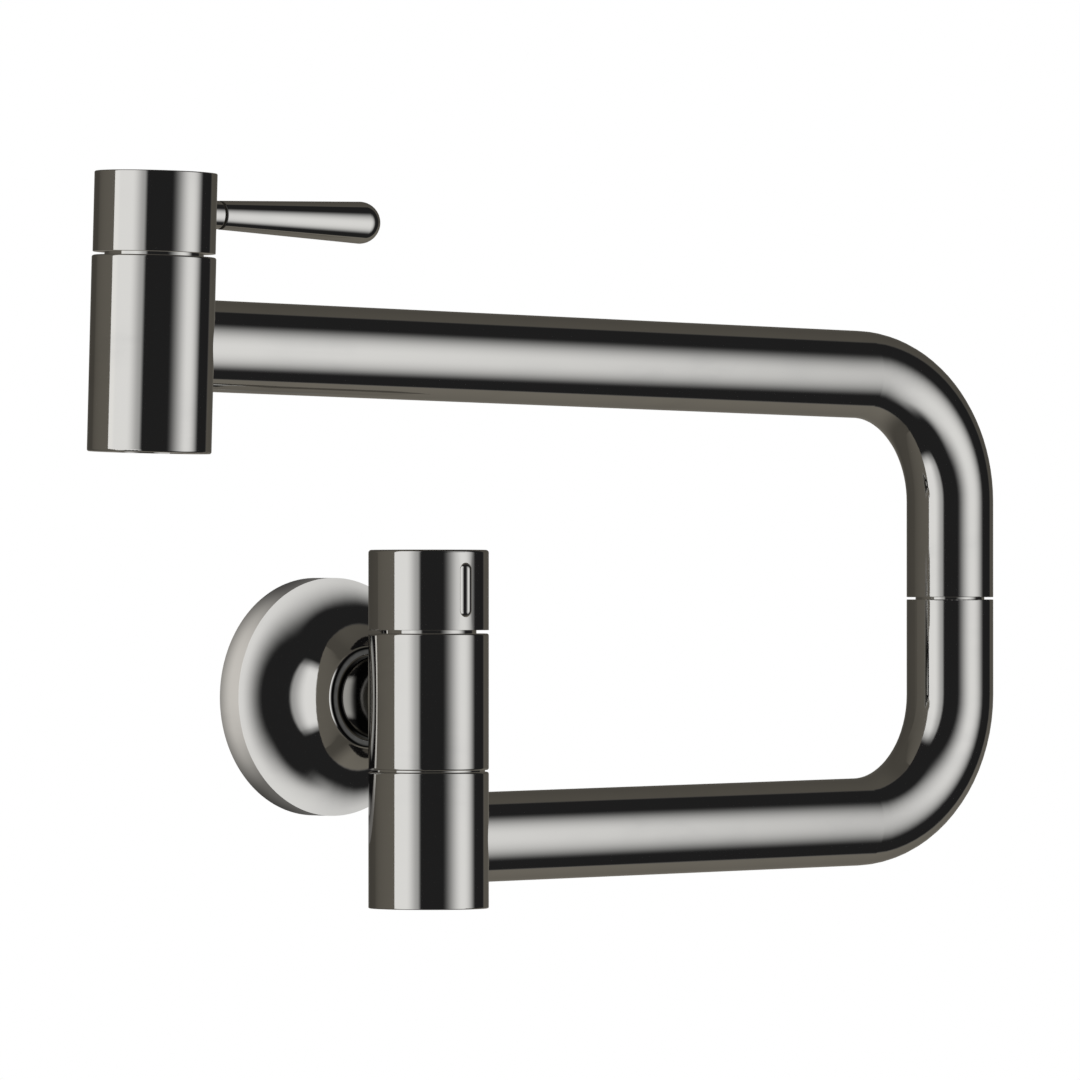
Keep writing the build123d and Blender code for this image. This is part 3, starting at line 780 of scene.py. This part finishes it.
hubLow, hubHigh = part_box("stop_drive_hub")
bodyAxisY = (hubLow.y + hubHigh.y) / 2
bodyRadius = (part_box("swivel_hub")[1].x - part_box("swivel_hub")[0].x) / 2


def along(axis):
    return lambda tree: parts(tree, objectPlace(tree))[axis]


def fromBodyAxis(tree):
    place = parts(tree, objectPlace(tree))
    return distance(tree, place["X"], sums(tree, "SUBTRACT", place["Y"], bodyAxisY))


def seamShadeFrom(across, end, limits):
    return (across, *(end + limit for limit in seamSet[limits]))


rosetteSeam = [seamShadeFrom(along("Y"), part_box("wall_rosette")[0].y, "rosetteLip")]
leverSeam = [seamShadeFrom(along("X"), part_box("lever_grip")[0].x, "leverStart")]
stubSeam = [seamShadeFrom(fromBodyAxis, bodyRadius, limits) for limits in ("stubStart", "stubEnd")]

# which piece gets which finish

tubeChrome = darkChrome("tubeChrome", tubeLines)
inletBrass = machined("inletBrass", spunLines, brassSet)

finishes = {  # by material slot
    "dark_chrome": darkChrome("turnedChrome", turnedLines),
    "brass": machined("turnedBrass", turnedLines, brassSet),
    "steel": machined("screwSteel", turnedLines, steelSet),
    "seal_rubber": moulded("sealRubber", rubberSet),
    "valve_ceramic": moulded("valveCeramic", ceramicSet),
    "plastic": moulded("mouldedPlastic", plasticSet),
}

ownFinishes = {  # pieces whose lines run another way
    "wall_rosette": darkChrome("spunChrome", spunLines, rosetteSeam),
    "valve_body": darkChrome("bodyChrome", turnedLines, stubSeam),
    "stop_grip_bar": darkChrome("barChrome", uprightLines),
    "lower_tube": tubeChrome,
    "upper_tube": tubeChrome,
    "lever_collar": darkChrome("collarChrome", levelLines),
    "lever_grip": darkChrome("leverChrome", levelLines, leverSeam),
    "lever_stud": machined("blackSteel", levelLines, blackSteelSet),
}

for part in frame["record"]["subparts"]:
    name = part["node"]
    nodes[name].data.materials.clear()
    nodes[name].data.materials.append(ownFinishes.get(name, finishes[part["material_slot"]]))
    nodes[name].visible_glossy = name == "wall_rosette"  # only the rosette is mirrored in its neighbours
print("finishes set")


# wall nipple with a cut thread, in place of the plain cylinder

nippleSet = {
    "threadEnd": 0.015,  # into the wall
    "major": 0.020955,
    "minor": 0.018631,
    "pitch": 0.001814,
    "crest": 0.17,  # share of the pitch
    "relief": 0.0011,  # turned down next to the hexagon
    "leadIn": 0.0002,  # the chamfer ends this far under the roots
    "bore": 0.012,
    "boreEdge": 0.0006,
    "hexAcross": 0.022,
    "hexHeight": 0.005,
    "hexEdge": 0.0006,  # flat ring left by the 30 degree chamfer
    "hexSteps": (0.0, 0.04, 0.08, 0.14, 0.86, 0.92, 0.96, 1.0),
    "plug": 0.022,
    "plugEnd": 0.025,
    "plugEdge": 0.0006,
    "screwGroove": (0.0053, 0.0113),
    "screwDepth": 0.0012,
    "sealGrooves": (0.0165, 0.0215),
    "sealHalf": 0.0011,
    "sealDepth": 0.0018,
    "columns": 96,
    "rowsPerPitch": 12,
    "sharpFrom": 38,  # degrees
}


def threadRadius(depth, turn):  # depth into the wall, turn as a share of one turn
    values = nippleSet
    offset = abs((depth / values["pitch"] - turn) % 1.0 - 0.5)
    share = (offset - values["crest"] / 2) / (0.5 - values["crest"])
    share = min(max(share, 0.0), 1.0)
    cut = share * share * (3 - 2 * share)
    low, high = values["minor"] / 2, values["major"] / 2
    runOut = min(max((depth - values["relief"]) / values["pitch"], 0.0), 1.0)
    chamfer = low - values["leadIn"] + values["threadEnd"] - depth
    return min(low + (high - low) * (1.0 - cut) * runOut, chamfer)


def hexRadius(height, turn):
    values = nippleSet
    half = values["hexAcross"] / 2
    fromCorner = abs((turn + 1 / 12) % (1 / 6) - 1 / 12)  # corners lie along X
    side = half / math.cos(2 * math.pi * (1 / 12 - fromCorner))
    toEnd = min(height, values["hexHeight"] - height)
    return min(side, half + values["hexEdge"] + toEnd * math.tan(math.radians(60)))


def nippleRows():  # height off the wall, and the radius at each turn
    values = nippleSet
    boreR, plugR = values["bore"] / 2, values["plug"] / 2
    boreEdge, plugEdge = values["boreEdge"], values["plugEdge"]
    threadEnd, plugEnd = values["threadEnd"], values["plugEnd"]
    sealHalf = values["sealHalf"]
    rows = []

    def plain(height, radius):
        rows.append((height, lambda turn: radius))

    def threaded(depth):
        rows.append((-depth, lambda turn: threadRadius(depth, turn)))

    def hexed(height):
        rows.append((height, lambda turn: hexRadius(height, turn)))

    plain(boreEdge - threadEnd, boreR)
    plain(-threadEnd, boreR + boreEdge)
    steps = round(threadEnd / values["pitch"] * values["rowsPerPitch"])
    for step in range(steps + 1):
        threaded(threadEnd * (1 - step / steps))
    for share in values["hexSteps"]:
        hexed(values["hexHeight"] * share)
    plain(values["hexHeight"], plugR)
    cuts = [(*values["screwGroove"], values["screwDepth"])]
    cuts += [(seat - sealHalf, seat + sealHalf, values["sealDepth"]) for seat in values["sealGrooves"]]
    for low, high, depth in cuts:
        for height, radius in ((low, plugR), (low, plugR - depth), (high, plugR - depth), (high, plugR)):
            plain(height, radius)
    plain(plugEnd - plugEdge, plugR)
    plain(plugEnd, plugR - plugEdge)
    plain(plugEnd, boreR + boreEdge)
    plain(plugEnd - boreEdge, boreR)
    return rows


def makeNipple():
    columns = nippleSet["columns"]
    form = bmesh.new()
    grid = []
    for height, radius in nippleRows():
        line = []
        for column in range(columns):
            turn = column / columns
            angle = 2 * math.pi * turn
            reach = radius(turn)
            line.append(form.verts.new((reach * math.cos(angle), -height, -reach * math.sin(angle))))
        grid.append(line)
    for row, line in enumerate(grid):
        below = grid[(row + 1) % len(grid)]  # the last row meets the first, along the bore
        for column in range(columns):
            beside = (column + 1) % columns
            face = form.faces.new((line[column], line[beside], below[beside], below[column]))
            face.smooth = True
    bmesh.ops.recalc_face_normals(form, faces=form.faces)
    mesh = bpy.data.meshes.new("wallNipple")
    form.to_mesh(mesh)
    form.free()
    mesh.set_sharp_from_angle(angle=math.radians(nippleSet["sharpFrom"]))
    mesh.materials.append(inletBrass)
    nipple = bpy.data.objects.new("wallNipple", mesh)
    nipple.visible_glossy = False
    scene.collection.objects.link(nipple)
    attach(nipple, "wall_side")
    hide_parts("wall_nipple")


makeNipple()
print("thread cut")
